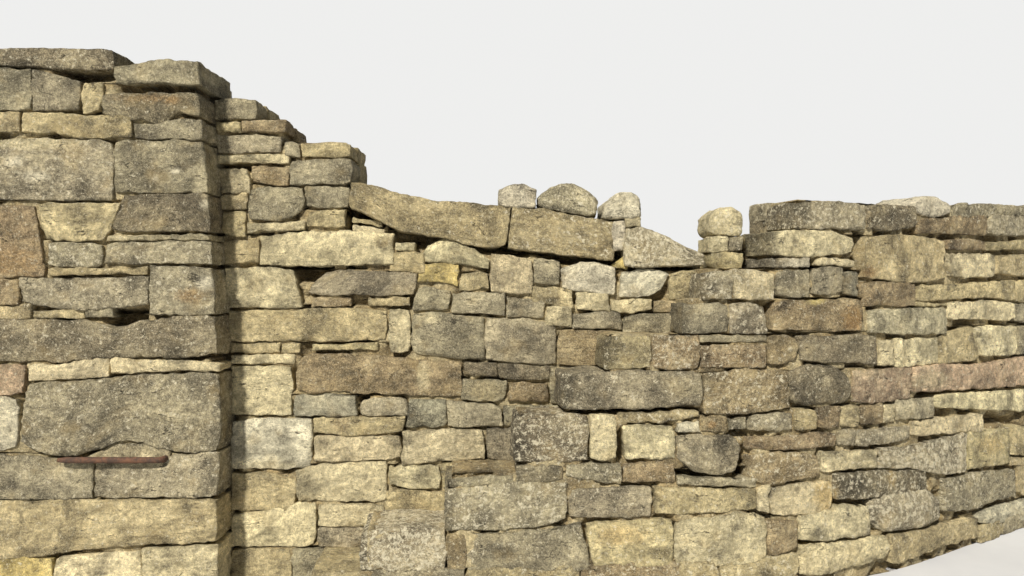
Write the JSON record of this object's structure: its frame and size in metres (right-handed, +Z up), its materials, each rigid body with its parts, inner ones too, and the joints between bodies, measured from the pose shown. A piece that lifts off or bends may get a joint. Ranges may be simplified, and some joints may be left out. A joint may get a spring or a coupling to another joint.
{
  "type": "limestone masonry wall",
  "caption": "Ruined dry-laid limestone wall: a battered pier, a recessed wall with tilted slabs, and a curved wing wall racked back in steps.",
  "frame": {"origin": "at ground level under the pier, on its centre line from front to back, 905 mm left of the foot of its right-hand corner", "axes": "+X along the wall to the right, +Y from the face back into the bank, +Z up"},
  "size_m": [8.7107, 2.6604, 3.67],
  "materials": {
    "grey_limestone": "weathered",
    "buff_limestone": "rough",
    "weathered_limestone": "weathered",
    "lichened_limestone": "weathered",
    "rusty_iron": "rusted"
  },
  "bodies": {
    "root": {"end_capstone": "lichened_limestone", "end_stones": "lichened_limestone", "iron_cramp": "rusty_iron", "left_slab": "lichened_limestone", "pier_course_01": "grey_limestone", "pier_course_02": "grey_limestone", "pier_course_03": "grey_limestone", "pier_course_04": "grey_limestone", "pier_course_05": "grey_limestone", "pier_course_06": "grey_limestone", "pier_course_07": "grey_limestone", "pier_course_08": "grey_limestone", "pier_course_09": "grey_limestone", "pier_course_10": "grey_limestone", "pier_course_11": "grey_limestone", "pier_course_12": "grey_limestone", "pier_course_13": "grey_limestone", "recess_course_01": "buff_limestone", "recess_course_02": "buff_limestone", "recess_course_03": "buff_limestone", "recess_course_04": "buff_limestone", "recess_course_05": "buff_limestone", "recess_course_06": "buff_limestone", "recess_course_07": "buff_limestone", "recess_course_08": "buff_limestone", "right_slab": "lichened_limestone", "slab_bed": "buff_limestone", "stack_course_01": "buff_limestone", "stack_course_02": "buff_limestone", "stack_course_03": "buff_limestone", "stack_course_04": "buff_limestone", "stack_course_05": "buff_limestone", "stack_course_06": "buff_limestone", "stack_course_07": "buff_limestone", "top_stones": "lichened_limestone", "wing_course_01": "weathered_limestone", "wing_course_02": "weathered_limestone", "wing_course_03": "weathered_limestone", "wing_course_04": "weathered_limestone", "wing_course_05": "weathered_limestone", "wing_course_06": "weathered_limestone", "wing_course_07": "weathered_limestone", "wing_course_08": "weathered_limestone", "wing_course_09": "weathered_limestone", "wing_course_10": "weathered_limestone"}
  },
  "joints": []
}
